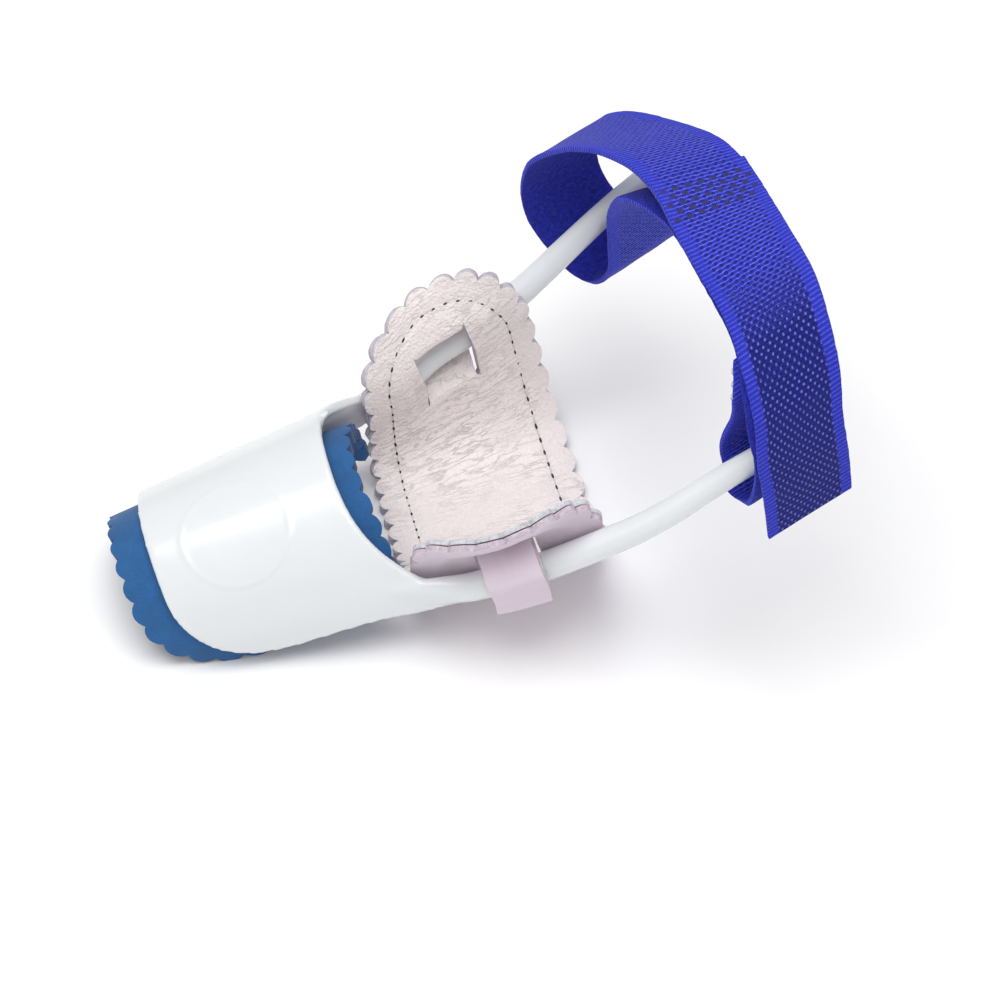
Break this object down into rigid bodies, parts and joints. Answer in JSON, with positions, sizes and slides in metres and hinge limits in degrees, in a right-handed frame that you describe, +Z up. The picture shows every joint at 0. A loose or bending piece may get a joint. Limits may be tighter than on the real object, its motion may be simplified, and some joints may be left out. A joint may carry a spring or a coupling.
{
  "type": "bunion corrector splint",
  "caption": "Bunion corrector: white arched toe shell with foam lining, two rods, a hanging leather pad and a blue hook and loop strap.",
  "frame": {"origin": "centre of the bounding box at the ground", "axes": "+X from the toe shell to the strap, +Y towards the instep rod, +Z up as the splint rests"},
  "size_m": [0.1471, 0.1067, 0.1011],
  "materials": {
    "white_plastic": "glossy moulded",
    "blue_foam": "matte closed cell foam",
    "beige_leather": "fine grain",
    "pink_backing": "smooth matte",
    "blue_tape": "woven"
  },
  "bodies": {
    "root": {"splint_frame": "white_plastic", "toe_foam_lining": "blue_foam", "pad_face": "beige_leather", "pad_backing": "pink_backing", "strap_loop_tape": "blue_tape", "strap_hook_tape": "blue_tape"}
  },
  "joints": []
}
